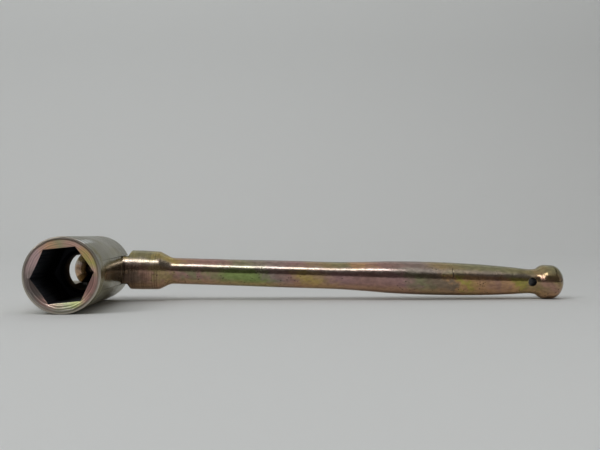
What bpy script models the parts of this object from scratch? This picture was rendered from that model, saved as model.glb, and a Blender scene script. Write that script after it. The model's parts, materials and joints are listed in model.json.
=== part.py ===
"""Hinged hex-socket wrench, all of zinc-plated steel, lying with its handle square to its socket.

Three pieces: a socket barrel with a slot across its rear end, a ball-ended handle whose flat
tang swings in that slot, and the pin that joins them. The barrel lies along Y with its mouth
facing -Y, and the handle points along +X. The barrel and the ball both touch the ground at
z = 0, so the whole wrench leans a little about the barrel's axis.
"""

import math

import bpy
from mathutils import Matrix

MM = 0.001
CLEARANCE = 0.3 * MM
OVERSHOOT = 2.0 * MM
ROUND_STEPS = 48
SMALL_STEPS = 24

# Socket barrel: depths are measured from the mouth face
BARREL_RADIUS = 15.0 * MM
BARREL_LENGTH = 67.0 * MM
BARREL_CHAMFER = 0.5 * MM
DISH_RADIUS = 13.4 * MM
DISH_SLOPE = math.radians(21)
HEX_ACROSS_FLATS = 21.0 * MM
HEX_DEPTH = 35.0 * MM
HEX_TURN = math.radians(7.7)
THROUGH_HOLE_RADIUS = 8.2 * MM
SLOT_HEIGHT = 12.9 * MM
SLOT_DEPTH = 44.5 * MM
SLOT_CUTTER_RADIUS = 25.0 * MM
PIVOT_DEPTH = 59.5 * MM

# Hinge pin
PIN_RADIUS = 3.5 * MM
PIN_CROWN = 0.45 * MM
PIN_RECESS = 0.1 * MM

# Handle: distances along it are measured from the pivot
TANG_THICKNESS = SLOT_HEIGHT - 2 * CLEARANCE
TANG_FLAT_END = 15.9 * MM
TANG_RUN_OUT = 1.2 * MM
COLLAR_RADIUS = 9.0 * MM
COLLAR_TAPER_START = 22.0 * MM
COLLAR_END = 29.9 * MM
COLLAR_END_RADIUS = 8.75 * MM
BALL_RADIUS = 8.03 * MM
BALL_FRONT = 212.0 * MM
BALL_BACK = 214.9 * MM
BALL_CAP_LENGTH = 5.9 * MM
BALL_TIP_ANGLE = math.radians(15)
BALL_ROOT_ANGLE = math.radians(52)
LANYARD_HOLE_POSITION = 204.4 * MM
LANYARD_HOLE_RADIUS = 2.0 * MM
GRIP_FLAT_START = 143.5 * MM
GRIP_FLAT_END = 166.0 * MM
GRIP_FLAT_DEPTH = 0.45 * MM
GRIP_FLAT_WIDTH = 12.0 * MM
GRIP_FLAT_ELEVATION = math.radians(23)

# Rod and grip: (distance from the pivot, radius), from the collar's cone to the ball's neck
ROD_STATIONS = [
    (35.3 * MM, 6.03 * MM),
    (60.0 * MM, 6.10 * MM),
    (90.0 * MM, 6.33 * MM),
    (112.0 * MM, 6.38 * MM),
    (127.5 * MM, 6.98 * MM),
    (137.0 * MM, 7.52 * MM),
    (157.2 * MM, 7.83 * MM),
    (180.2 * MM, 7.36 * MM),
    (196.1 * MM, 6.43 * MM),
    (204.5 * MM, 5.72 * MM),
    (207.4 * MM, 6.00 * MM),
]
ROD_STEPS_PER_SPAN = 2

# The lowest points of the barrel and the ball are level, which sets how far the wrench leans
HANDLE_END = BALL_BACK + BALL_CAP_LENGTH * math.cos(BALL_TIP_ANGLE)
LEAN = math.asin((BARREL_RADIUS - BALL_RADIUS) / BALL_BACK)
CENTRE_X = (HANDLE_END * math.cos(LEAN) - BARREL_RADIUS) / 2
CENTRE_Y = (PIVOT_DEPTH + COLLAR_RADIUS) / 2


def clear_scene():
    for obj in list(bpy.data.objects):
        bpy.data.objects.remove(obj)


def new_collection(name):
    collection = bpy.data.collections.new(name)
    bpy.context.scene.collection.children.link(collection)
    return collection


def new_material(name, colour, roughness, metallic):
    material = bpy.data.materials.new(name)
    material.use_nodes = True
    shader = material.node_tree.nodes["Principled BSDF"]
    shader.inputs["Base Color"].default_value = (*colour, 1.0)
    shader.inputs["Roughness"].default_value = roughness
    shader.inputs["Metallic"].default_value = metallic
    return material


def new_empty(name, collection, parent, location, lean=0.0):
    empty = bpy.data.objects.new(name, None)
    empty.location = location
    empty.rotation_euler = (0.0, lean, 0.0)
    empty.parent = parent
    collection.objects.link(empty)
    return empty


def turned_piece(name, outline, collection, parent, rotation, material):
    """Turns an outline of (radius, height), listed from the top to the bottom, about Z."""
    mesh = bpy.data.meshes.new(name)
    points = [(radius, 0.0, height) for radius, height in outline]
    edges = [(i, i + 1) for i in range(len(points) - 1)]
    mesh.from_pydata(points, edges, [])
    mesh.materials.append(material)
    piece = bpy.data.objects.new(name, mesh)
    piece.parent = parent
    piece.rotation_euler = rotation
    collection.objects.link(piece)
    screw = piece.modifiers.new("Turn", "SCREW")
    screw.axis = "Z"
    screw.steps = ROUND_STEPS
    screw.render_steps = ROUND_STEPS
    screw.use_merge_vertices = True
    screw.merge_threshold = 0.01 * MM
    return piece


def as_cutter(name, collection, parent, matrix):
    """Names the primitive that was just added and puts it among the cutters."""
    cutter = bpy.context.object
    cutter.name = name
    for owner in list(cutter.users_collection):
        owner.objects.unlink(cutter)
    collection.objects.link(cutter)
    cutter.parent = parent
    cutter.matrix_basis = matrix
    cutter.hide_render = True
    cutter.display_type = "WIRE"
    return cutter


def cylinder_cutter(name, radius, length, steps, collection, parent, matrix):
    bpy.ops.mesh.primitive_cylinder_add(vertices=steps, radius=radius, depth=length)
    return as_cutter(name, collection, parent, matrix)


def box_cutter(name, size, collection, parent, matrix):
    """A box that stands on its own origin, so its bottom face is the face that it cuts."""
    bpy.ops.mesh.primitive_cube_add(size=1.0)
    mesh = bpy.context.object.data
    for vertex in mesh.vertices:
        vertex.co.x *= size[0]
        vertex.co.y *= size[1]
        vertex.co.z = (vertex.co.z + 0.5) * size[2]
    return as_cutter(name, collection, parent, matrix)


def cut(piece, cutter):
    modifier = piece.modifiers.new(cutter.name, "BOOLEAN")
    modifier.operation = "DIFFERENCE"
    modifier.solver = "EXACT"
    modifier.object = cutter


def finish(piece):
    """Makes the modifiers' result the piece's own mesh, round where it's round and crisp at edges."""
    bpy.context.view_layer.update()
    evaluated = piece.evaluated_get(bpy.context.evaluated_depsgraph_get())
    mesh = bpy.data.meshes.new_from_object(evaluated)
    piece.modifiers.clear()
    piece.data = mesh
    mesh.name = piece.name
    mesh.shade_smooth()
    mesh.set_sharp_from_angle(angle=math.radians(30))


def elliptical_arc(centre, half_length, radius, start, end, steps):
    """Outline points of a rounded end, by their angle from the handle's axis."""
    points = []
    for i in range(steps + 1):
        angle = start + (end - start) * i / steps
        points.append((radius * math.sin(angle), centre + half_length * math.cos(angle)))
    return points


def rod_outline():
    """Radius and distance along the rod and grip, as one smooth curve through the stations."""
    last = len(ROD_STATIONS) - 1

    def slope(i):
        before = ROD_STATIONS[max(i - 1, 0)]
        after = ROD_STATIONS[min(i + 1, last)]
        return (after[1] - before[1]) / (after[0] - before[0])

    points = []
    for i in range(last):
        (start, start_radius), (end, end_radius) = ROD_STATIONS[i], ROD_STATIONS[i + 1]
        span = end - start
        for step in range(ROD_STEPS_PER_SPAN):
            t = step / ROD_STEPS_PER_SPAN
            radius = (
                (2 * t**3 - 3 * t**2 + 1) * start_radius
                + (t**3 - 2 * t**2 + t) * span * slope(i)
                + (3 * t**2 - 2 * t**3) * end_radius
                + (t**3 - t**2) * span * slope(i + 1)
            )
            points.append((radius, start + span * t))
    points.append((ROD_STATIONS[last][1], ROD_STATIONS[last][0]))
    return points


def handle_outline():
    """The handle's turned outline, from the ball's tip down to the round end of the tang."""
    tip = elliptical_arc(
        BALL_BACK, BALL_CAP_LENGTH, BALL_RADIUS, BALL_TIP_ANGLE, math.pi / 2, 8
    )
    root = elliptical_arc(
        BALL_FRONT, BALL_CAP_LENGTH, BALL_RADIUS, math.pi / 2, math.pi - BALL_ROOT_ANGLE, 5
    )
    outline = [(0.0, HANDLE_END)] + tip + root
    outline += reversed(rod_outline())
    outline += [
        (COLLAR_END_RADIUS, COLLAR_END),
        (COLLAR_RADIUS, COLLAR_TAPER_START),
        (COLLAR_RADIUS, TANG_FLAT_END),
    ]
    tang_end = elliptical_arc(0.0, COLLAR_RADIUS, COLLAR_RADIUS, math.pi / 2, math.pi, 10)
    tang_end[-1] = (0.0, -COLLAR_RADIUS)
    return outline + tang_end


def make_socket(parts, cutters, wrench):
    """A round barrel with a dished mouth, a hexagonal cavity, a round hole and two ears."""
    outline = [
        (0.0, -DISH_RADIUS * math.tan(DISH_SLOPE)),
        (DISH_RADIUS, 0.0),
        (BARREL_RADIUS - BARREL_CHAMFER, 0.0),
        (BARREL_RADIUS, -BARREL_CHAMFER),
        (BARREL_RADIUS, BARREL_CHAMFER - BARREL_LENGTH),
        (BARREL_RADIUS - BARREL_CHAMFER, -BARREL_LENGTH),
        (0.0, -BARREL_LENGTH),
    ]
    steel = new_material("socket_steel", (0.36, 0.34, 0.27), 0.28, 1.0)
    mouth_forward = (math.pi / 2, 0.0, 0.0)
    socket = turned_piece("socket", outline, parts, wrench, mouth_forward, steel)

    along_y = Matrix.Rotation(math.pi / 2, 4, "X")
    hex_length = HEX_DEPTH + OVERSHOOT
    hex_cutter = cylinder_cutter(
        "hex_broach",
        HEX_ACROSS_FLATS / math.sqrt(3),
        hex_length,
        6,
        cutters,
        wrench,
        Matrix.Translation((0.0, HEX_DEPTH - hex_length / 2, 0.0))
        @ Matrix.Rotation(math.pi / 6 - HEX_TURN, 4, "Y")
        @ along_y,
    )
    cut(socket, hex_cutter)

    hole_length = SLOT_DEPTH + SLOT_CUTTER_RADIUS - HEX_DEPTH
    hole_cutter = cylinder_cutter(
        "through_drill",
        THROUGH_HOLE_RADIUS,
        hole_length + OVERSHOOT,
        ROUND_STEPS,
        cutters,
        wrench,
        Matrix.Translation((0.0, HEX_DEPTH + (hole_length - OVERSHOOT) / 2, 0.0)) @ along_y,
    )
    cut(socket, hole_cutter)

    slot_cutter = cylinder_cutter(
        "slot_disc",
        SLOT_CUTTER_RADIUS,
        SLOT_HEIGHT,
        2 * ROUND_STEPS,
        cutters,
        wrench,
        Matrix.Translation((0.0, SLOT_DEPTH + SLOT_CUTTER_RADIUS, 0.0)),
    )
    cut(socket, slot_cutter)

    pin_drill = cylinder_cutter(
        "ear_drill",
        PIN_RADIUS + CLEARANCE,
        2 * (BARREL_RADIUS + OVERSHOOT),
        SMALL_STEPS,
        cutters,
        wrench,
        Matrix.Translation((0.0, PIVOT_DEPTH, 0.0))
        @ Matrix.Rotation(math.pi / SMALL_STEPS, 4, "Z"),
    )
    cut(socket, pin_drill)
    finish(socket)


def make_handle(parts, cutters, hinge):
    """A turned bar: flat tang, collar, cone, slim rod, swollen grip, neck and ball."""
    steel = new_material("handle_steel", (0.45, 0.36, 0.22), 0.25, 1.0)
    tip_right = (0.0, math.pi / 2, 0.0)
    handle = turned_piece("handle", handle_outline(), parts, hinge, tip_right, steel)

    flat_length = COLLAR_RADIUS + OVERSHOOT + TANG_FLAT_END
    flat_middle = TANG_FLAT_END - flat_length / 2
    for side, name in ((1, "tang_mill_top"), (-1, "tang_mill_bottom")):
        flat_cutter = box_cutter(
            name,
            (flat_length, 2 * (COLLAR_RADIUS + OVERSHOOT), COLLAR_RADIUS),
            cutters,
            hinge,
            Matrix.Translation((flat_middle, 0.0, side * TANG_THICKNESS / 2))
            @ Matrix.Rotation(0.0 if side > 0 else math.pi, 4, "X"),
        )
        for vertex in flat_cutter.data.vertices:
            if vertex.co.x > 0.0 and vertex.co.z > 0.0:
                vertex.co.x += TANG_RUN_OUT * vertex.co.z / (COLLAR_RADIUS - TANG_THICKNESS / 2)
        cut(handle, flat_cutter)

    pin_drill = cylinder_cutter(
        "tang_drill",
        PIN_RADIUS + CLEARANCE,
        2 * (COLLAR_RADIUS + OVERSHOOT),
        SMALL_STEPS,
        cutters,
        hinge,
        Matrix.Rotation(math.pi / SMALL_STEPS, 4, "Z"),
    )
    cut(handle, pin_drill)

    lanyard_drill = cylinder_cutter(
        "lanyard_drill",
        LANYARD_HOLE_RADIUS,
        2 * (BALL_RADIUS + OVERSHOOT),
        SMALL_STEPS,
        cutters,
        hinge,
        Matrix.Translation((LANYARD_HOLE_POSITION, 0.0, 0.0))
        @ Matrix.Rotation(math.pi / 2, 4, "X"),
    )
    cut(handle, lanyard_drill)

    start_radius = radius_of_rod(GRIP_FLAT_START)
    end_radius = radius_of_rod(GRIP_FLAT_END) - GRIP_FLAT_DEPTH
    flat_slope = math.atan((start_radius - end_radius) / (GRIP_FLAT_END - GRIP_FLAT_START))
    mill_length = 2 * (GRIP_FLAT_END - GRIP_FLAT_START)
    grip_mill = box_cutter(
        "grip_mill",
        (mill_length, GRIP_FLAT_WIDTH, COLLAR_RADIUS),
        cutters,
        hinge,
        Matrix.Rotation(math.pi / 2 - GRIP_FLAT_ELEVATION, 4, "X")
        @ Matrix.Translation((GRIP_FLAT_START, 0.0, start_radius))
        @ Matrix.Rotation(flat_slope, 4, "Y"),
    )
    cut(handle, grip_mill)
    finish(handle)


def radius_of_rod(distance):
    """The rod's radius at a distance from the pivot, read between the outline's points."""
    points = rod_outline()
    for (radius, start), (next_radius, end) in zip(points, points[1:]):
        if start <= distance <= end:
            return radius + (next_radius - radius) * (distance - start) / (end - start)
    raise ValueError("that distance is not on the rod")


def make_hinge_pin(parts, hinge):
    """A plain round pin whose crowned ends finish just under the barrel's surface."""
    crown_top = BARREL_RADIUS - PIN_RECESS
    shoulder = crown_top - PIN_CROWN
    outline = [
        (0.0, crown_top),
        (PIN_RADIUS * 0.6, crown_top - PIN_CROWN * 0.36),
        (PIN_RADIUS, shoulder),
        (PIN_RADIUS, -shoulder),
        (PIN_RADIUS * 0.6, PIN_CROWN * 0.36 - crown_top),
        (0.0, -crown_top),
    ]
    steel = new_material("pin_steel", (0.42, 0.37, 0.26), 0.35, 1.0)
    pin = turned_piece("hinge_pin", outline, parts, hinge, (0.0, 0.0, 0.0), steel)
    finish(pin)


def main():
    clear_scene()
    parts = new_collection("hinged_socket_wrench")
    cutters = new_collection("cutters")
    mouth_centre = (-CENTRE_X, -CENTRE_Y, BARREL_RADIUS)
    wrench = new_empty("wrench", parts, None, mouth_centre, LEAN)
    hinge = new_empty("hinge", parts, wrench, (0.0, PIVOT_DEPTH, 0.0))
    make_socket(parts, cutters, wrench)
    make_handle(parts, cutters, hinge)
    make_hinge_pin(parts, hinge)


main()
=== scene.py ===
"""Looks of the hinged socket wrench: its three steel pieces, modelled around the fixed frame.

The pieces are modelled upright about the hinge, with the barrel along Y and the handle along X,
and are then set down together with the lean that the frame's hinge axis gives.
"""

import json
import math

import bpy
from mathutils import Matrix, Vector


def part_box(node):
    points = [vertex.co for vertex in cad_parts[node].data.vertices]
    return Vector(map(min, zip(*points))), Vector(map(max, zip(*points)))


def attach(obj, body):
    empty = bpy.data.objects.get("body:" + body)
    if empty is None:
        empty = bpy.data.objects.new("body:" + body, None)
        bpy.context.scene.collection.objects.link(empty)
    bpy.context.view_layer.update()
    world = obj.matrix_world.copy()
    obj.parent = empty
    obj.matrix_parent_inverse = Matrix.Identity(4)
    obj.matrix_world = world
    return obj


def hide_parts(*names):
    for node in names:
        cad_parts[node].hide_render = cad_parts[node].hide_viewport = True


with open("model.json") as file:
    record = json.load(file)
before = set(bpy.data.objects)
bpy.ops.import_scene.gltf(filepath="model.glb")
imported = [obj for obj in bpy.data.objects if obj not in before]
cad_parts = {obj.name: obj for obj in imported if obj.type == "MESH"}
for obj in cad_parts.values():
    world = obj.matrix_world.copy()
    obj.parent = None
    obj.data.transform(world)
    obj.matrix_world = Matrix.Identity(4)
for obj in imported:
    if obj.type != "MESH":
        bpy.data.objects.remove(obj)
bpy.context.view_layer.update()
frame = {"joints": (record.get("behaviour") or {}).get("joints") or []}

MM = 0.001
HINGE = frame["joints"][0]
PIVOT = Vector(HINGE["pos_m"])
HINGE_AXIS = Vector(HINGE["axis"])
LEAN = math.atan2(HINGE_AXIS.x, HINGE_AXIS.z)
SOCKET_LOW, SOCKET_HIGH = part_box("socket")
PIN_LOW, PIN_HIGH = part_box("hinge_pin")

# Socket barrel, along the barrel's axis from the pivot towards the mouth
BARREL_RADIUS = PIVOT.z
MOUTH = PIVOT.y - SOCKET_LOW.y
REAR = PIVOT.y - SOCKET_HIGH.y
HEX_ACROSS_FLATS = 21.0 * MM
HEX_DEPTH = 35.0 * MM
HEX_TURN = math.radians(7.7)
PILOT_RADIUS = 9.5 * MM
DRILL_POINT = math.radians(59)
THROUGH_HOLE_RADIUS = 8.2 * MM
RIM_ROUNDING = 0.6 * MM
REAR_CHAMFER = 0.6 * MM
DISH_RADIUS = 13.4 * MM
DISH_SLOPE = math.radians(21)
DISH_INNER_RADIUS = 1.0 * MM
SLOT_HALF_HEIGHT = 6.35 * MM
SLOT_CUTTER_RADIUS = 25.0 * MM
SLOT_DEPTH = 44.5 * MM
PIN_RADIUS = (PIN_HIGH.y - PIN_LOW.y) / 2
PIN_PLAY_IN_EARS = 0.06 * MM
PIN_PLAY_IN_TANG = 0.1 * MM
PIN_END_STANDS_BACK = 0.05 * MM

# Handle, from the pivot towards the ball
TANG_HALF_THICKNESS = 6.15 * MM
TANG_FLAT_END = 15.9 * MM
TANG_RUN_OUT = 1.2 * MM
COLLAR_RADIUS = 9.0 * MM
TANG_NOSE_ANGLE = math.pi * 0.985
COLLAR_TAPER_START = 22.0 * MM
COLLAR_END = 29.9 * MM
COLLAR_END_RADIUS = 8.75 * MM
BALL_RADIUS = 8.03 * MM
BALL_FRONT = 212.0 * MM
BALL_BACK = 214.9 * MM
BALL_CAP = 5.9 * MM
BALL_TIP_ANGLE = math.radians(15)
BALL_ROOT_ANGLE = math.radians(52)
LANYARD_HOLE_PLACE = 204.4 * MM
LANYARD_HOLE_RADIUS = 2.0 * MM
GRIP_FLAT_START = 143.5 * MM
GRIP_FLAT_END = 166.0 * MM
GRIP_FLAT_DEPTH = 0.45 * MM
GRIP_FLAT_ELEVATION = math.radians(26)
ROD_STATIONS = [
    (35.3 * MM, 6.03 * MM),
    (60.0 * MM, 6.10 * MM),
    (90.0 * MM, 6.33 * MM),
    (112.0 * MM, 6.38 * MM),
    (127.5 * MM, 6.98 * MM),
    (137.0 * MM, 7.52 * MM),
    (157.2 * MM, 7.83 * MM),
    (180.2 * MM, 7.36 * MM),
    (196.1 * MM, 6.43 * MM),
    (204.5 * MM, 5.72 * MM),
    (207.4 * MM, 6.00 * MM),
]
COLLAR_END_BEND = 0.5 * MM
ROD_START_BEND = 1.2 * MM
ROD_POINT_SPACING = 1.5 * MM

# How the pieces are cut
SIDES = 128
HOLE_SIDES = 64
OVERSHOOT = 2.0 * MM
MILL_REACH = 12.0 * MM
MERGE_DISTANCE = 0.02 * MM
ALONG_Y = Matrix.Rotation(math.pi / 2, 4, "X")
ONTO_BARREL_AXIS = Matrix.Rotation(-math.pi / 2, 4, "Z")
# Turns a hole's sides so that none of its corners faces straight along the wrench
HALF_SIDE = Matrix.Rotation(math.pi / HOLE_SIDES, 4, "Z")


# ---------------------------------------------------------------- modelling steps


def pick_only(piece):
    bpy.ops.object.select_all(action="DESELECT")
    piece.select_set(True)
    bpy.context.view_layer.objects.active = piece


def apply_place(piece):
    pick_only(piece)
    bpy.ops.object.transform_apply(location=True, rotation=True, scale=True)


def apply_modifier(piece, modifier):
    pick_only(piece)
    bpy.ops.object.modifier_apply(modifier=modifier.name)


def turn_bar(name, outline):
    """A solid bar about X: a disc drawn out from point to point and resized at each."""
    place, radius = outline[0]
    bpy.ops.object.select_all(action="DESELECT")
    bpy.ops.mesh.primitive_circle_add(
        vertices=SIDES,
        radius=radius,
        fill_type="NGON",
        location=(place, 0.0, 0.0),
        rotation=(0.0, math.pi / 2, 0.0),
    )
    bar = bpy.context.object
    bar.name = name
    apply_place(bar)
    bpy.ops.object.mode_set(mode="EDIT")
    bpy.ops.mesh.select_all(action="SELECT")
    for next_place, next_radius in outline[1:]:
        bpy.ops.mesh.extrude_region_move(
            TRANSFORM_OT_translate={"value": (next_place - place, 0.0, 0.0)}
        )
        resize = next_radius / radius
        bpy.ops.transform.resize(
            value=(1.0, resize, resize), center_override=(next_place, 0.0, 0.0)
        )
        place, radius = next_place, next_radius
    bpy.ops.mesh.select_all(action="SELECT")
    bpy.ops.mesh.normals_make_consistent(inside=False)
    bpy.ops.object.mode_set(mode="OBJECT")
    return bar


def drill(radius, length, matrix, sides=HOLE_SIDES):
    """A cutter about its own Z: round, or six-sided for the hexagon."""
    bpy.ops.mesh.primitive_cylinder_add(vertices=sides, radius=radius, depth=length)
    cutter = bpy.context.object
    cutter.matrix_world = matrix
    return cutter


def cut(piece, cutter, operation="DIFFERENCE"):
    """Cuts the piece with the cutter, or keeps only what both share, and drops the cutter."""
    modifier = piece.modifiers.new("Cut", "BOOLEAN")
    modifier.object = cutter
    modifier.operation = operation
    modifier.solver = "EXACT"
    apply_modifier(piece, modifier)
    bpy.data.objects.remove(cutter)


def round_edges(piece, width, sharper_than, segments=2):
    """Breaks the edges where two faces meet at more than sharper_than degrees."""
    modifier = piece.modifiers.new("Round", "BEVEL")
    modifier.width = width
    modifier.segments = segments
    modifier.limit_method = "ANGLE"
    modifier.angle_limit = math.radians(sharper_than)
    modifier.use_clamp_overlap = False
    apply_modifier(piece, modifier)


def merge_close(piece):
    """Joins the corners that the cuts left almost on top of each other."""
    pick_only(piece)
    bpy.ops.object.mode_set(mode="EDIT")
    bpy.ops.mesh.select_all(action="SELECT")
    bpy.ops.mesh.remove_doubles(threshold=MERGE_DISTANCE)
    bpy.ops.object.mode_set(mode="OBJECT")


def shade(piece, angle=30):
    pick_only(piece)
    bpy.ops.object.shade_smooth_by_angle(angle=math.radians(angle))


def set_down(piece, body, node):
    """Leans the finished piece with the rest of the wrench and hangs it on its body."""
    piece.data.transform(Matrix.Translation(PIVOT) @ Matrix.Rotation(LEAN, 4, "Y"))
    piece.data.update()
    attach(piece, body)
    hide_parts(node)


# ---------------------------------------------------------------- outlines


def cap_arc(centre, half_length, radius, start, end, steps):
    """Rounded end of a bar: points by their angle from the bar's axis."""
    points = []
    for i in range(steps + 1):
        angle = start + (end - start) * i / steps
        points.append((centre + half_length * math.cos(angle), radius * math.sin(angle)))
    return points


def rounded_corner(before, corner, after, reach, steps=4):
    """Replaces a corner of an outline by a smooth bend that starts and ends at reach from it."""
    corner = Vector(corner)
    start = corner + (Vector(before) - corner).normalized() * reach
    end = corner + (Vector(after) - corner).normalized() * reach
    points = []
    for i in range(steps + 1):
        t = i / steps
        point = start.lerp(corner, t).lerp(corner.lerp(end, t), t)
        points.append((point.x, point.y))
    return points


def rim_arc(end, radius, rounding, steps):
    """Quarter round from a bar's side to its flat end."""
    points = []
    for i in range(steps + 1):
        angle = math.pi / 2 * i / steps
        points.append(
            (end - rounding * (1 - math.sin(angle)), radius - rounding * (1 - math.cos(angle)))
        )
    return points


def smooth_curve(stations, spacing):
    """Points about a spacing apart on one smooth curve through the (place, radius) stations."""
    last = len(stations) - 1

    def slope(i):
        before = stations[max(i - 1, 0)]
        after = stations[min(i + 1, last)]
        return (after[1] - before[1]) / (after[0] - before[0])

    points = []
    for i in range(last):
        (start, start_radius), (end, end_radius) = stations[i], stations[i + 1]
        span = end - start
        steps = max(2, round(span / spacing))
        for step in range(steps):
            t = step / steps
            radius = (
                (2 * t**3 - 3 * t**2 + 1) * start_radius
                + (t**3 - 2 * t**2 + t) * span * slope(i)
                + (3 * t**2 - 2 * t**3) * end_radius
                + (t**3 - t**2) * span * slope(i + 1)
            )
            points.append((start + span * t, radius))
    return points + [stations[last]]


def rod_radius(place):
    """The rod's radius at a place between its first and last stations."""
    points = smooth_curve(ROD_STATIONS, ROD_POINT_SPACING)
    for (start, radius), (end, next_radius) in zip(points, points[1:]):
        if start <= place <= end:
            return radius + (next_radius - radius) * (place - start) / (end - start)
    raise ValueError("that place is not on the rod")


def handle_outline():
    """The whole bar from the tang's round nose to the ball's tip, before anything is cut."""
    collar_start = (COLLAR_TAPER_START, COLLAR_RADIUS)
    collar_end = (COLLAR_END, COLLAR_END_RADIUS)
    rod_start = ROD_STATIONS[0]
    outline = cap_arc(0.0, COLLAR_RADIUS, COLLAR_RADIUS, TANG_NOSE_ANGLE, math.pi / 2, 24)
    outline += [(place * MM, COLLAR_RADIUS) for place in (6.0, 12.0, 17.0)]
    outline += [collar_start]
    outline += rounded_corner(collar_start, collar_end, rod_start, COLLAR_END_BEND)
    rod = smooth_curve(ROD_STATIONS, ROD_POINT_SPACING)
    outline += rounded_corner(collar_end, rod_start, rod[1], ROD_START_BEND)
    outline += rod[1:]
    outline += cap_arc(
        BALL_FRONT, BALL_CAP, BALL_RADIUS, math.pi - BALL_ROOT_ANGLE, math.pi / 2, 10
    )
    outline += cap_arc(BALL_BACK, BALL_CAP, BALL_RADIUS, math.pi / 2, BALL_TIP_ANGLE, 18)
    return outline


# ---------------------------------------------------------------- the three pieces


def turned_blank():
    """The barrel as it leaves the lathe: rounded rim, shallow dish, chamfered rear edge."""
    dish_depth = (DISH_RADIUS - DISH_INNER_RADIUS) * math.tan(DISH_SLOPE)
    outline = [(REAR, BARREL_RADIUS - REAR_CHAMFER), (REAR + REAR_CHAMFER, BARREL_RADIUS)]
    outline += rim_arc(MOUTH, BARREL_RADIUS, RIM_ROUNDING, 5)
    outline += [(MOUTH, DISH_RADIUS), (MOUTH - dish_depth, DISH_INNER_RADIUS)]
    blank = turn_bar("socket_barrel", outline)
    blank.matrix_world = ONTO_BARREL_AXIS
    apply_place(blank)
    return blank


def hexagon_broach():
    length = HEX_DEPTH + OVERSHOOT
    middle = -(MOUTH + OVERSHOOT - length / 2)
    return drill(
        HEX_ACROSS_FLATS / math.sqrt(3),
        length,
        Matrix.Translation((0.0, middle, 0.0))
        @ Matrix.Rotation(math.pi / 6 - HEX_TURN, 4, "Y")
        @ ALONG_Y,
        sides=6,
    )


def stepped_bore():
    """Pilot hole behind the hexagon, with the drill's cone down to the through hole."""
    cone_length = (PILOT_RADIUS - THROUGH_HOLE_RADIUS) / math.tan(DRILL_POINT)
    cone_start = MOUTH - HEX_DEPTH - 0.5 * MM
    bore = turn_bar(
        "bore_cutter",
        [
            (MOUTH - HEX_DEPTH + OVERSHOOT, PILOT_RADIUS),
            (cone_start, PILOT_RADIUS),
            (cone_start - cone_length, THROUGH_HOLE_RADIUS),
            (REAR - OVERSHOOT, THROUGH_HOLE_RADIUS),
        ],
    )
    bore.matrix_world = ONTO_BARREL_AXIS
    apply_place(bore)
    return bore


def slot_cutter():
    """The side mill that leaves the slot for the tang, with a round end."""
    centre = -MOUTH + SLOT_DEPTH + SLOT_CUTTER_RADIUS
    place = Matrix.Translation((0.0, centre, 0.0))
    return drill(SLOT_CUTTER_RADIUS, 2 * SLOT_HALF_HEIGHT, place, sides=192)


def make_socket():
    socket = turned_blank()
    cut(socket, hexagon_broach())
    cut(socket, stepped_bore())
    cut(socket, slot_cutter())
    pin_hole_length = 2 * BARREL_RADIUS + 2 * OVERSHOOT
    cut(socket, drill(PIN_RADIUS + PIN_PLAY_IN_EARS, pin_hole_length, HALF_SIDE))
    merge_close(socket)
    round_edges(socket, width=0.18 * MM, sharper_than=28)
    shade(socket)
    return socket


def tang_mill(side):
    """A block above or below the tang, whose end slopes up to the collar."""
    bpy.ops.mesh.primitive_cube_add(size=2.0)
    mill = bpy.context.object
    low = TANG_HALF_THICKNESS
    high = COLLAR_RADIUS + OVERSHOOT
    run = TANG_RUN_OUT * (high - low) / (COLLAR_RADIUS - low)
    for corner in mill.data.vertices:
        top = corner.co.z > 0.0
        corner.co.z = high if top else low
        corner.co.y *= MILL_REACH
        if corner.co.x > 0.0:
            corner.co.x = TANG_FLAT_END + (run if top else 0.0)
        else:
            corner.co.x = -MILL_REACH
    mill.matrix_world = Matrix.Rotation(0.0 if side > 0 else math.pi, 4, "X")
    return mill


def grip_flat_mill():
    """A block that takes the pad off the grip, deeper towards the ball."""
    start_radius = rod_radius(GRIP_FLAT_START)
    end_radius = rod_radius(GRIP_FLAT_END) - GRIP_FLAT_DEPTH
    span = GRIP_FLAT_END - GRIP_FLAT_START
    slope = math.atan((start_radius - end_radius) / span)
    bpy.ops.mesh.primitive_cube_add(size=2.0)
    mill = bpy.context.object
    half = MILL_REACH / 2
    for corner in mill.data.vertices:
        x, y, z = corner.co
        corner.co = Vector((x * span, y * half, (z + 1.0) * half))
    mill.matrix_world = (
        Matrix.Rotation(math.pi / 2 - GRIP_FLAT_ELEVATION, 4, "X")
        @ Matrix.Translation((GRIP_FLAT_START, 0.0, start_radius))
        @ Matrix.Rotation(slope, 4, "Y")
    )
    return mill


def make_handle():
    handle = turn_bar("handle_bar", handle_outline())
    for side in (1, -1):
        cut(handle, tang_mill(side))
    cut(handle, drill(PIN_RADIUS + PIN_PLAY_IN_TANG, 4 * COLLAR_RADIUS, HALF_SIDE))
    at_neck = Matrix.Translation((LANYARD_HOLE_PLACE, 0.0, 0.0))
    cut(handle, drill(LANYARD_HOLE_RADIUS, 4 * BALL_RADIUS, at_neck @ ALONG_Y))
    cut(handle, grip_flat_mill())
    merge_close(handle)
    round_edges(handle, width=0.15 * MM, sharper_than=28)
    shade(handle)
    return handle


def make_hinge_pin():
    """A rivet with both ends ground to the barrel's curve."""
    bpy.ops.mesh.primitive_cylinder_add(
        vertices=HOLE_SIDES, radius=PIN_RADIUS, depth=2 * BARREL_RADIUS + OVERSHOOT
    )
    pin = bpy.context.object
    pin.name = "hinge_rivet"
    ground_radius = BARREL_RADIUS - PIN_END_STANDS_BACK
    cut(pin, drill(ground_radius, 4 * PIN_RADIUS, ALONG_Y, sides=256), "INTERSECT")
    merge_close(pin)
    round_edges(pin, width=0.15 * MM, sharper_than=40)
    shade(pin)
    return pin


# ---------------------------------------------------------------- finishes


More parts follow.
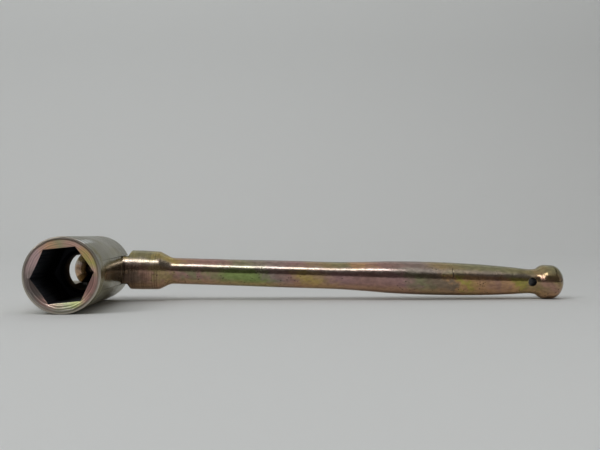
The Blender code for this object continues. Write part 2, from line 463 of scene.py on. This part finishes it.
def srgb(code):
    """A colour written as sRGB hex, as linear values."""
    channels = [int(code[i : i + 2], 16) / 255 for i in (1, 3, 5)]
    linear = [c / 12.92 if c <= 0.04045 else ((c + 0.055) / 1.055) ** 2.4 for c in channels]
    return (*linear, 1.0)


def add_node(tree, kind, inputs=None, **settings):
    """Adds a node with its settings. An input is given as a value, or as a socket to link."""
    node = tree.nodes.new(kind)
    for name, value in settings.items():
        setattr(node, name, value)
    for name, value in (inputs or {}).items():
        if isinstance(value, bpy.types.NodeSocket):
            tree.links.new(value, node.inputs[name])
        else:
            node.inputs[name].default_value = value
    return node


def set_stops(node, stops):
    """Fills a colour ramp with (position, colour) stops, colours as sRGB hex."""
    elements = node.color_ramp.elements
    elements.remove(elements[-1])
    for i, (position, colour) in enumerate(stops):
        element = elements[0] if i == 0 else elements.new(position)
        element.position = position
        element.color = srgb(colour)


def start_metal(name, roughness):
    """A new metal. Returns its tree, its shader and places in mm about the hinge, unleaned."""
    material = bpy.data.materials.new(name)
    material.use_nodes = True
    tree = material.node_tree
    shader = tree.nodes["Principled BSDF"]
    shader.inputs["Metallic"].default_value = 1.0
    shader.inputs["Roughness"].default_value = roughness
    place = add_node(tree, "ShaderNodeTexCoord")
    local = add_node(
        tree,
        "ShaderNodeMapping",
        {
            "Vector": place.outputs["Object"],
            "Location": PIVOT,
            "Rotation": (0.0, LEAN, 0.0),
            "Scale": (MM, MM, MM),
        },
        vector_type="TEXTURE",
    )
    return material, tree, shader, local.outputs[0]


def noise(tree, vector, size, detail=2.0, stretch=(1.0, 1.0, 1.0)):
    """Noise whose lumps are about size mm across, drawn out along each axis by stretch."""
    scaled = add_node(
        tree,
        "ShaderNodeMapping",
        {"Vector": vector, "Scale": [1.0 / (size * s) for s in stretch]},
    )
    return add_node(
        tree, "ShaderNodeTexNoise", {"Vector": scaled.outputs[0], "Scale": 1.0, "Detail": detail}
    ).outputs["Fac"]


def arithmetic(tree, operation, first, second=0.0, third=0.0):
    return add_node(
        tree, "ShaderNodeMath", {0: first, 1: second, 2: third}, operation=operation
    ).outputs[0]


def remap(tree, value, low, high, to_low=0.0, to_high=1.0, smooth=True):
    return add_node(
        tree,
        "ShaderNodeMapRange",
        {"Value": value, "From Min": low, "From Max": high, "To Min": to_low, "To Max": to_high},
        interpolation_type="SMOOTHSTEP" if smooth else "LINEAR",
    ).outputs[0]


def blend(tree, share, first, second, mode="MIX"):
    return add_node(
        tree,
        "ShaderNodeMix",
        {0: share, 6: first, 7: second},
        data_type="RGBA",
        blend_type=mode,
    ).outputs[2]


def bump(tree, height, depth_mm, normal=None):
    """Relief of depth_mm where height runs from 0 to 1."""
    inputs = {"Height": height, "Distance": depth_mm * MM, "Strength": 1.0}
    if normal is not None:
        inputs["Normal"] = normal
    return add_node(tree, "ShaderNodeBump", inputs).outputs[0]


# Interference colours of the yellow chromate film on polished steel, a pale haze over it, and the
# near-white of a painted highlight
BROWN = "#8A7262"
ROSE = "#A98270"
PINK = "#A57F76"
MAUVE = "#A5807E"
GREY_MAUVE = "#96847C"
ORANGE_GOLD = "#C2986A"
GOLD = "#B89F58"
OLIVE_GOLD = "#A48E62"
YELLOW_GREEN = "#ACA448"
GREEN = "#8A9E58"
DULL_GREEN = "#8C8A66"
OLIVE = "#918B62"
DRAB = "#867460"
# Near-white of the painted highlight along the handle's upper sides
PAINTED_HIGHLIGHT_PALE = "#C4BAB2"
HAZE = "#BCB0AC"

# Patches of film colour by distance from the pivot in mm: the handle's lower and upper sides
LOWER_PATCHES = [
    (-9, ORANGE_GOLD),
    (-2, BROWN),
    (19, BROWN),
    (26, ROSE),
    (30, OLIVE_GOLD),
    (35, OLIVE_GOLD),
    (39, PINK),
    (44, DULL_GREEN),
    (49, PINK),
    (56, OLIVE),
    (64, GREEN),
    (75, GREEN),
    (82, GREY_MAUVE),
    (90, PINK),
    (97, GOLD),
    (112, MAUVE),
    (128, PINK),
    (142, MAUVE),
    (150, DULL_GREEN),
    (158, DRAB),
    (163, DRAB),
    (167, ORANGE_GOLD),
    (171, YELLOW_GREEN),
    (176, ORANGE_GOLD),
    (188, ROSE),
    (194, ORANGE_GOLD),
    (198, YELLOW_GREEN),
    (204, OLIVE_GOLD),
    (212, ROSE),
    (219, OLIVE_GOLD),
    (222, DRAB),
]
UPPER_PATCHES = [
    (0, OLIVE_GOLD),
    (19, GOLD),
    (24, OLIVE),
    (32, OLIVE),
    (40, GOLD),
    (50, ROSE),
    (62, PINK),
    (74, DULL_GREEN),
    (86, GREY_MAUVE),
    (98, MAUVE),
    (112, OLIVE_GOLD),
    (120, OLIVE),
    (127, ORANGE_GOLD),
    (138, PINK),
    (156, GREY_MAUVE),
    (167, OLIVE_GOLD),
    (179, OLIVE),
    (191, DULL_GREEN),
    (203, OLIVE),
    (211, OLIVE_GOLD),
    (221, OLIVE),
]
PATCHES_FROM = -10.0
PATCHES_TO = 222.0


def patches(tree, along, stops):
    """Film colour by place along the handle, which is given in mm from the pivot."""
    span = PATCHES_TO - PATCHES_FROM
    share = remap(tree, along, PATCHES_FROM, PATCHES_TO, smooth=False)
    ramp = add_node(tree, "ShaderNodeValToRGB", {"Fac": share})
    set_stops(ramp, [((place - PATCHES_FROM) / span, colour) for place, colour in stops])
    return ramp.outputs[0]


def nicks(tree, local, spacing, size):
    """Ragged spots about size mm across and spacing mm apart: a mask that is 1 inside them."""
    cells = add_node(
        tree, "ShaderNodeTexVoronoi", {"Vector": local, "Scale": 1 / spacing, "Randomness": 1.0}
    )
    distance = arithmetic(tree, "MULTIPLY", cells.outputs["Distance"], spacing)
    ragged = arithmetic(tree, "MULTIPLY_ADD", noise(tree, local, size / 2), 2 * size, -size)
    distance = arithmetic(tree, "ADD", distance, ragged)
    return remap(tree, distance, 0.3 * size, 0.8 * size, 1.0, 0.0)


def scratches(tree, local, turn, length, width):
    """Thin marks that run one way: a mask that is 1 along the middle of each."""
    turned = add_node(
        tree, "ShaderNodeMapping", {"Vector": local, "Rotation": turn}
    ).outputs[0]
    field = noise(tree, turned, width * 3, 1.0, (length / (width * 3), 1.0, 1.0))
    return remap(tree, field, 0.70, 0.76)


def forged_polished_zinc():
    """Forged bar, belt polished, zinc plated and yellow passivated.

    Gloss of polished steel, with a film whose colour drifts from gold through pink to green
    along the bar, a pale highlight painted along its upper sides, soft waves left by the belt,
    turning marks on the tang and collar, clusters of small pits and a few scratches.
    """
    material, tree, shader, local = start_metal("forged_polished_yellow_zinc", 0.2)
    split = add_node(tree, "ShaderNodeSeparateXYZ", {"Vector": local})
    x, y, z = split.outputs

    drift = arithmetic(tree, "MULTIPLY_ADD", noise(tree, local, 6.0, 3.0), 14.0, x)
    drift = arithmetic(tree, "MULTIPLY_ADD", noise(tree, local, 2.2, 3.0), 12.0, drift)
    drift = arithmetic(tree, "MULTIPLY_ADD", z, 0.9, drift)
    drift = arithmetic(tree, "SUBTRACT", drift, 12.0)
    lower = patches(tree, drift, LOWER_PATCHES)
    upper = patches(tree, drift, UPPER_PATCHES)
    round_place = add_node(tree, "ShaderNodeCombineXYZ", {"Y": y, "Z": z})
    radius = add_node(
        tree, "ShaderNodeVectorMath", {0: round_place.outputs[0]}, operation="LENGTH"
    ).outputs["Value"]
    tilt = arithmetic(tree, "DIVIDE", z, radius)
    tilt = arithmetic(tree, "MULTIPLY_ADD", noise(tree, local, 4.0, 3.0), 0.4, tilt)
    colour = blend(tree, remap(tree, tilt, 0.45, 0.95), lower, upper)
    underside = remap(tree, tilt, -0.6, -0.2, 0.6, 0.0)
    colour = blend(tree, underside, colour, srgb(ORANGE_GOLD))
    # Painted highlight: a pale band where the bright line of the light runs along the bar, faded
    # out before the ball
    off_highlight_line = arithmetic(tree, "ABSOLUTE", arithmetic(tree, "SUBTRACT", tilt, 0.66))
    painted_highlight_band = remap(tree, off_highlight_line, 0.04, 0.26, 0.5, 0.0)
    painted_highlight_band = arithmetic(tree, "MULTIPLY", painted_highlight_band, remap(tree, x, 200.0, 208.0, 1.0, 0.0))
    colour = blend(tree, painted_highlight_band, colour, srgb(PAINTED_HIGHLIGHT_PALE))

    colour = blend(tree, 0.08, colour, srgb(HAZE))
    mottle = remap(tree, noise(tree, local, 1.3, 4.0, (2.0, 1.0, 1.0)), 0.3, 0.7, 0.84, 1.16)
    colour = blend(tree, 1.0, colour, mottle, "MULTIPLY")
    dark_specks = nicks(tree, local, 7.0, 0.5)
    clusters = remap(tree, noise(tree, local, 7.0), 0.5, 0.58)
    fine_specks = arithmetic(tree, "MULTIPLY", nicks(tree, local, 1.6, 0.6), clusters)
    hair_lines = scratches(tree, local, (0.3, 0.1, 0.5), 9.0, 0.16)
    marks = arithmetic(tree, "MAXIMUM", dark_specks, fine_specks)
    colour = blend(tree, arithmetic(tree, "MULTIPLY", marks, 0.65), colour, srgb("#4A453A"))
    colour = blend(tree, arithmetic(tree, "MULTIPLY", hair_lines, 0.35), colour, srgb("#5A5040"))
    on_collar = remap(tree, x, 30.0, 31.0, 1.0, 0.0)
    # Turning marks, drawn 0.5 mm apart. Real ones are nearer 0.2 mm and would not show.
    feed = noise(tree, local, 0.5, 3.0, (1.0, 60.0, 60.0))
    feed_tone = remap(tree, feed, 0.3, 0.7, 0.72, 1.22)
    feed_colour = blend(tree, 1.0, colour, feed_tone, "MULTIPLY")
    colour = blend(tree, on_collar, colour, feed_colour)
    tree.links.new(colour, shader.inputs["Base Color"])

    rough = remap(tree, noise(tree, local, 4.0, 3.0, (3.0, 1.0, 1.0)), 0.3, 0.7, 0.13, 0.22)
    rough = arithmetic(tree, "MULTIPLY_ADD", marks, 0.2, rough)
    rough = arithmetic(tree, "MULTIPLY_ADD", on_collar, 0.04, rough)
    tree.links.new(rough, shader.inputs["Roughness"])

    relief = bump(tree, noise(tree, local, 9.0, 1.0, (1.8, 1.0, 1.0)), 0.10)
    relief = bump(tree, noise(tree, local, 1.1, 3.0), 0.045, relief)
    relief = bump(tree, arithmetic(tree, "MULTIPLY", feed, on_collar), 0.06, relief)
    tree.links.new(relief, shader.inputs["Normal"])
    return material


def turned_zinc():
    """Turned barrel, polished, zinc plated and yellow passivated.

    Olive grey with faint gold, with fine rings left by turning and a few scratches that run
    slantwise round it. Just behind the rim, high on the handle's side, a near-white glint is
    painted.
    """
    material, tree, shader, local = start_metal("turned_yellow_zinc", 0.2)
    shader.inputs["Specular Tint"].default_value = srgb("#DAD8D0")
    split = add_node(tree, "ShaderNodeSeparateXYZ", {"Vector": local})
    x, y, z = split.outputs
    # The turning rings are drawn about twice as coarse as real ones, so that they show
    rings = noise(tree, local, 0.45, 4.0, (90.0, 1.0, 90.0))
    broad_rings = noise(tree, local, 4.0, 2.0, (12.0, 1.0, 12.0))
    tint = noise(tree, local, 7.0, 3.0, (1.0, 2.0, 1.0))
    tint = arithmetic(tree, "MULTIPLY_ADD", z, -0.012, tint)
    ramp = add_node(tree, "ShaderNodeValToRGB", {"Fac": tint})
    set_stops(
        ramp,
        [
            (0.26, "#AEABA4"),
            (0.42, "#A8A69C"),
            (0.52, "#9E977C"),
            (0.6, "#98937A"),
            (0.72, "#94835F"),
        ],
    )
    ring_tone = remap(tree, rings, 0.3, 0.7, 0.78, 1.18)
    colour = blend(tree, 1.0, ramp.outputs[0], ring_tone, "MULTIPLY")
    # Painted highlight: a near-white glint high on the handle's side, just behind the rim
    around = arithmetic(tree, "ARCTAN2", z, x)
    around = arithmetic(tree, "MULTIPLY_ADD", noise(tree, local, 3.0), 0.16, around)
    glint_middle = 1.16  # radians up from the handle's side
    off_middle = arithmetic(tree, "SUBTRACT", around, glint_middle)
    off_middle = arithmetic(tree, "ABSOLUTE", off_middle)
    painted_glint = remap(tree, off_middle, 0.05, 0.13, 1.0, 0.0)
    painted_glint = arithmetic(tree, "MULTIPLY", painted_glint, remap(tree, y, -48.0, -34.0, 1.0, 0.0))
    colour = blend(tree, painted_glint, colour, srgb("#F6FAFF"))
    slanted = scratches(tree, local, (0.5, 0.9, 0.9), 12.0, 0.2)
    colour = blend(tree, arithmetic(tree, "MULTIPLY", slanted, 0.7), colour, srgb("#5E594A"))
    specks = nicks(tree, local, 6.0, 0.6)
    colour = blend(tree, arithmetic(tree, "MULTIPLY", specks, 0.4), colour, srgb("#5A5546"))
    tree.links.new(colour, shader.inputs["Base Color"])
    rough = remap(tree, broad_rings, 0.3, 0.7, 0.17, 0.28)
    tree.links.new(rough, shader.inputs["Roughness"])
    relief = bump(tree, rings, 0.012)
    relief = bump(tree, broad_rings, 0.02, relief)
    relief = bump(tree, slanted, -0.02, relief)
    tree.links.new(relief, shader.inputs["Normal"])
    return material


def faced_zinc():
    """The barrel's mouth: faced and dished on the lathe, zinc plated and yellow passivated.

    Coarse rings about the barrel's axis, which catch the light below the cavity, under a film
    that drifts round the mouth from mauve through orange and gold to green. Low down, a painted
    highlight whitens the crests of the rings. Outside the dish runs a dark ring of painted
    reflection, and a painted highlight lies along the rounded rim.
    """
    material, tree, shader, local = start_metal("faced_yellow_zinc", 0.28)
    split = add_node(tree, "ShaderNodeSeparateXYZ", {"Vector": local})
    x, y, z = split.outputs
    flat_place = add_node(tree, "ShaderNodeCombineXYZ", {"X": x, "Z": z})
    radius = add_node(
        tree, "ShaderNodeVectorMath", {0: flat_place.outputs[0]}, operation="LENGTH"
    ).outputs["Value"]
    wobble = arithmetic(tree, "MULTIPLY_ADD", noise(tree, local, 6.0), 0.7, radius)
    by_radius = add_node(tree, "ShaderNodeCombineXYZ", {"X": wobble})
    rings = noise(tree, by_radius.outputs[0], 0.75, 2.0)

    around = arithmetic(tree, "ARCTAN2", z, x)
    around = arithmetic(tree, "MULTIPLY_ADD", noise(tree, local, 4.0, 2.0), 1.0, around)
    around = arithmetic(tree, "MULTIPLY_ADD", rings, 0.5, around)
    # The two lots of noise add 0.75 radian on average, which is taken off again here
    turn = remap(tree, around, 0.75 - math.pi, 0.75 + math.pi, smooth=False)
    ramp = add_node(tree, "ShaderNodeValToRGB", {"Fac": turn})
    # Film round the mouth: side away from the handle 0, bottom 0.25, handle side 0.5, top 0.75
    set_stops(
        ramp,
        [
            (0.0, "#A4928E"),
            (0.09, "#AAA09C"),
            (0.17, "#E6BCB2"),
            (0.25, "#A2A686"),
            (0.33, "#84885E"),
            (0.42, "#D8A8A0"),
            (0.5, "#D2AAA0"),
            (0.58, "#BEB66E"),
            (0.63, "#CEA87E"),
            (0.7, "#CEA698"),
            (0.77, "#B0A887"),
            (0.84, "#D4A888"),
            (0.92, "#CBACAC"),
            (1.0, "#A4928E"),
        ],
    )
    ring_tone = remap(tree, rings, 0.3, 0.7, 0.62, 1.35)
    colour = blend(tree, 1.0, ramp.outputs[0], ring_tone, "MULTIPLY")
    # Painted highlight: near-white on the crests of the rings low in the dish
    low_down = remap(tree, arithmetic(tree, "MULTIPLY_ADD", x, 0.36, z), -9.5, -12.5)
    painted_ridge_highlight = arithmetic(tree, "MULTIPLY", remap(tree, rings, 0.5, 0.62), low_down)
    colour = blend(tree, painted_ridge_highlight, colour, srgb("#F4ECE4"))
    # Painted reflection: a dark ring on the flat ring outside the dish
    painted_dark_ring = remap(tree, wobble, 13.6, 13.9)
    colour = blend(tree, arithmetic(tree, "MULTIPLY", painted_dark_ring, 0.6), colour, srgb("#6E665E"))
    # Painted highlight along the rounded rim
    painted_rim_highlight = remap(tree, wobble, 14.35, 14.65)
    colour = blend(tree, arithmetic(tree, "MULTIPLY", painted_rim_highlight, 0.85), colour, srgb("#BCB4A8"))
    tree.links.new(colour, shader.inputs["Base Color"])
    relief = bump(tree, rings, 0.3)
    relief = bump(tree, noise(tree, local, 0.7, 2.0), 0.012, relief)
    tree.links.new(relief, shader.inputs["Normal"])
    return material


def broached_steel():
    """Inside of the barrel and of the drilled holes, which the plating hardly reached.

    Dull dark grey steel with streaks that run along the cavity, turned black deeper in by painted
    shade.
    """
    material, tree, shader, local = start_metal("broached_dark_steel", 0.55)
    streaks = noise(tree, local, 0.8, 3.0, (1.0, 30.0, 1.0))
    grey = blend(tree, remap(tree, streaks, 0.3, 0.7), srgb("#4E4F55"), srgb("#6E7076"))
    depth = add_node(tree, "ShaderNodeSeparateXYZ", {"Vector": local}).outputs["Y"]
    # Painted shade: the grey turns black deeper in the cavity
    colour = blend(tree, remap(tree, depth, -50.0, -34.0), grey, srgb("#26262A"))
    tree.links.new(colour, shader.inputs["Base Color"])
    tree.links.new(bump(tree, streaks, 0.03), shader.inputs["Normal"])
    return material


def milled_zinc():
    """Walls of the slot and of the pin holes: milled steel under a thin, dull film."""
    material, tree, shader, local = start_metal("milled_yellow_zinc", 0.35)
    arcs = noise(tree, local, 0.7, 2.0, (1.0, 12.0, 6.0))
    colour = blend(tree, remap(tree, arcs, 0.3, 0.7), srgb("#7E7658"), srgb("#A39A78"))
    tree.links.new(colour, shader.inputs["Base Color"])
    tree.links.new(bump(tree, arcs, 0.02), shader.inputs["Normal"])
    return material


def headed_zinc():
    """Rivet ends, headed and ground flush before plating: dull gold with grinding lines."""
    material, tree, shader, local = start_metal("headed_yellow_zinc", 0.3)
    lines = noise(tree, local, 0.5, 3.0, (14.0, 1.0, 1.0))
    patch = noise(tree, local, 3.0, 2.0)
    plain = blend(tree, remap(tree, patch, 0.35, 0.65), srgb(OLIVE), srgb(ROSE))
    tone = remap(tree, lines, 0.3, 0.7, 0.8, 1.15)
    colour = blend(tree, 1.0, plain, tone, "MULTIPLY")
    tree.links.new(colour, shader.inputs["Base Color"])
    tree.links.new(bump(tree, lines, 0.012), shader.inputs["Normal"])
    return material


def finish_handle(handle, dark_steel):
    """The bar's own finish. The lanyard hole's wall takes the dark steel of the drilled holes, and
    the grip flat's step takes it as painted shade.
    """
    hole_margin = 0.02 * MM
    step_margin = 0.4 * MM
    handle.data.materials.append(forged_polished_zinc())
    handle.data.materials.append(dark_steel)
    for face in handle.data.polygons:
        along = face.center.x - LANYARD_HOLE_PLACE
        from_hole = math.hypot(along, face.center.z)
        inward = face.normal.x * along + face.normal.z * face.center.z < -0.5 * from_hole
        hole_wall = from_hole < LANYARD_HOLE_RADIUS + hole_margin and inward
        # The grip flat's step gets the dark steel as painted shade, in place of the bar's finish
        step = abs(face.center.x - GRIP_FLAT_END) < step_margin and face.normal.x < -0.3
        face.material_index = 1 if hole_wall or step else 0


def finish_socket(socket, dark_steel):
    """Gives each face the finish of the tool that cut it, by its place and direction."""
    turned, faced, dark, milled = range(4)
    for steel in (turned_zinc(), faced_zinc(), dark_steel, milled_zinc()):
        socket.data.materials.append(steel)
    inner_limit = HEX_ACROSS_FLATS / math.sqrt(3) + 0.3 * MM
    deepest_dish = -MOUTH + 2.0 * MM
    slot_wall_limit = SLOT_HALF_HEIGHT + 0.05 * MM
    slot_start = SLOT_DEPTH - MOUTH - 1.0 * MM
    for face in socket.data.polygons:
        centre = face.center
        from_axis = math.hypot(centre.x, centre.z)
        outward = (face.normal.x * centre.x + face.normal.z * centre.z) / max(from_axis, MM)
        if face.normal.y < -0.7 and centre.y < deepest_dish:
            face.material_index = faced
        elif abs(centre.z) < slot_wall_limit and centre.y > slot_start:
            face.material_index = milled
        elif from_axis < inner_limit and outward < 0.3:
            face.material_index = dark
        else:
            face.material_index = turned


# ---------------------------------------------------------------- studio

WINDOW_TINT = (0.97, 0.98, 1.0)


def paper(name, colour):
    material = bpy.data.materials.new(name)
    material.use_nodes = True
    shader = material.node_tree.nodes["Principled BSDF"]
    shader.inputs["Base Color"].default_value = srgb(colour)
    shader.inputs["Roughness"].default_value = 0.9
    return material


def make_sweep():
    """Pale paper sweep: flat ground that curves up into a wall well behind the wrench."""
    near, bend, radius, height, half_width = -6.0, 0.7, 0.4, 1.6, 6.0
    points = [(near, 0.0), (bend, 0.0)]
    for i in range(1, 17):
        angle = math.pi / 2 * i / 16
        points.append((bend + radius * math.sin(angle), radius * (1 - math.cos(angle))))
    points.append((bend + radius, height))
    vertices = []
    for y, z in points:
        vertices += [(-half_width, y, z), (half_width, y, z)]
    faces = [(2 * i, 2 * i + 1, 2 * i + 3, 2 * i + 2) for i in range(len(points) - 1)]
    mesh = bpy.data.meshes.new("sweep")
    mesh.from_pydata(vertices, [], faces)
    mesh.shade_smooth()
    mesh.materials.append(paper("pale_paper", "#DDDFDE"))
    sweep = bpy.data.objects.new("sweep", mesh)
    bpy.context.scene.collection.objects.link(sweep)


def add_area_light(name, place, target, size, power, colour=(1.0, 1.0, 1.0)):
    light = bpy.data.lights.new(name, "AREA")
    light.shape = "RECTANGLE"
    light.size, light.size_y = size
    light.energy = power
    light.color = colour
    lamp = bpy.data.objects.new(name, light)
    lamp.location = place
    direction = Vector(target) - Vector(place)
    lamp.rotation_euler = direction.to_track_quat("-Z", "Y").to_euler()
    bpy.context.scene.collection.objects.link(lamp)


def make_lights():
    """Soft boxes: a strip that draws the bright line along the bar, and broad pale fills."""
    strip_distance = 1.0
    elevation = math.radians(59)
    strip_x = -0.14
    add_area_light(
        "front_strip",
        (strip_x, -strip_distance * math.cos(elevation), strip_distance * math.sin(elevation)),
        (strip_x, 0.0, 0.0),
        (0.62, 0.17),
        1.5,
    )
    add_area_light("front_window", (-1.0, -0.8, 1.0), (0.0, 0.0, 0.0), (0.7, 0.7), 6.0, WINDOW_TINT)
    add_area_light("overhead_diffuser", (-0.1, -0.1, 1.3), (-0.1, -0.1, 0.0), (2.0, 2.2), 5.9)
    add_area_light("wall_wash", (-0.15, 0.3, 1.5), (-0.15, 1.1, 1.4), (2.8, 0.3), 7.5)
    add_area_light("left_panel", (-1.4, 0.3, 0.6), (0.0, 0.0, 0.1), (1.6, 1.1), 1.7)
    add_area_light("right_panel", (1.3, 0.2, 0.6), (0.0, 0.0, 0.1), (1.6, 1.1), 1.2)
    world = bpy.data.worlds.new("studio_room")
    bpy.context.scene.world = world
    world.use_nodes = True
    tree = world.node_tree
    tree.nodes.clear()
    path = add_node(tree, "ShaderNodeLightPath")
    room = add_node(tree, "ShaderNodeBackground", {"Color": srgb("#565452"), "Strength": 1.0})
    pale = add_node(tree, "ShaderNodeBackground", {"Color": srgb("#AEB0AF"), "Strength": 1.0})
    mix = add_node(
        tree,
        "ShaderNodeMixShader",
        {0: path.outputs["Is Camera Ray"], 1: room.outputs[0], 2: pale.outputs[0]},
    )
    add_node(tree, "ShaderNodeOutputWorld", {"Surface": mix.outputs[0]})


def make_camera():
    """Low and close in front, a little towards the ball, looking nearly level."""
    data = bpy.data.cameras.new("camera")
    data.lens = 44.4
    data.sensor_width = 36.0
    data.clip_start = 0.01
    camera = bpy.data.objects.new("camera", data)
    barrel_x, mouth_y = PIVOT.x, SOCKET_LOW.y
    camera.location = (barrel_x + 74.48 * MM, mouth_y - 287.90 * MM, 30.48 * MM)
    yaw, pitch = math.radians(3.367), math.radians(0.773)
    camera.rotation_euler = (math.pi / 2 + pitch, 0.0, -yaw)
    bpy.context.scene.collection.objects.link(camera)
    bpy.context.scene.camera = camera


def main():
    scene = bpy.context.scene
    scene.view_settings.view_transform = "Standard"
    make_camera()
    socket = make_socket()
    dark_steel = broached_steel()
    finish_socket(socket, dark_steel)
    set_down(socket, "socket", "socket")
    handle = make_handle()
    finish_handle(handle, dark_steel)
    set_down(handle, "handle", "handle")
    pin = make_hinge_pin()
    pin.data.materials.append(headed_zinc())
    set_down(pin, "socket", "hinge_pin")
    make_sweep()
    make_lights()


main()
